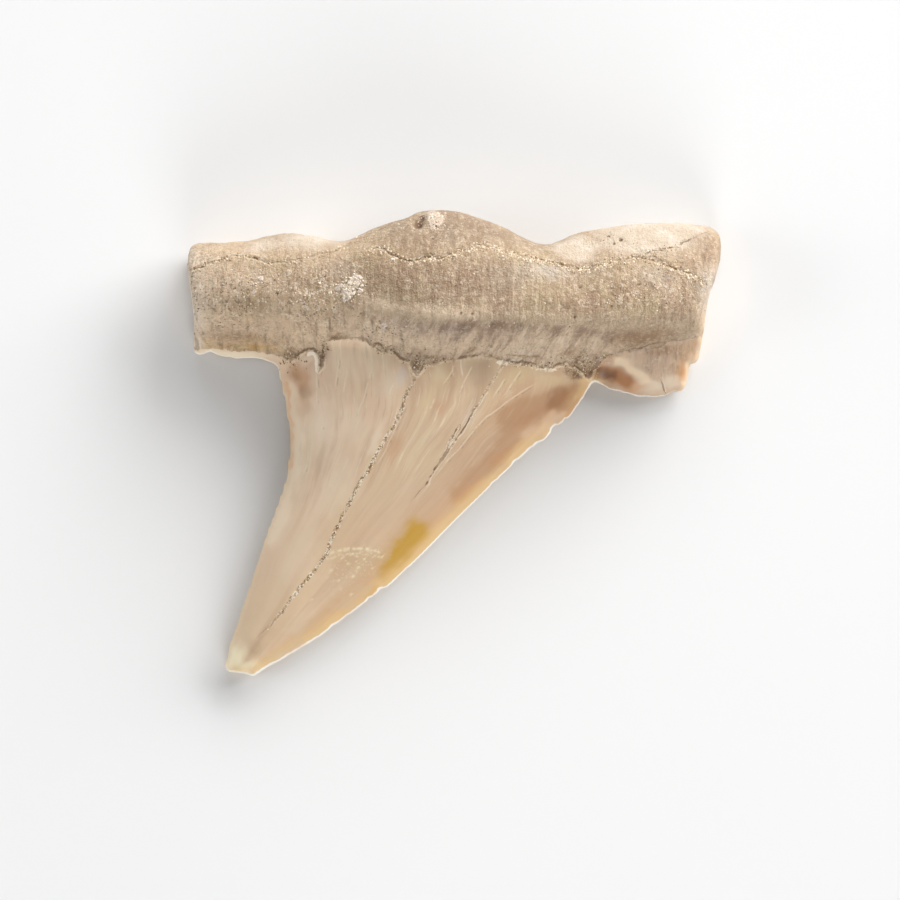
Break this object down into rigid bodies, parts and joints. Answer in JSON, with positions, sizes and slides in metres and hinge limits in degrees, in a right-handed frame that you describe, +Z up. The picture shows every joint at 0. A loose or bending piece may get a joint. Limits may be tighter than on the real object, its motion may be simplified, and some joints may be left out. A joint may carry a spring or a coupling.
{
  "type": "fossil shark tooth",
  "caption": "Fossil shark tooth lying flat: a thick arched root and a slanting blade-shaped crown with a blunt tip, with a low heel on each side.",
  "frame": {"origin": "centre of the bounding box's bottom, on the surface the tooth lies on", "axes": "+X along the root towards its wider lobe, +Y from the tip of the crown towards the root, +Z up, out of the bulging inner face"},
  "size_m": [0.0498, 0.0432, 0.0131],
  "materials": {
    "fossil": "mineralised tooth: satin cream-brown enamel on the crown and matt sandy grey-brown bone on the root"
  },
  "bodies": {
    "root": {"tooth": "fossil"}
  },
  "joints": []
}
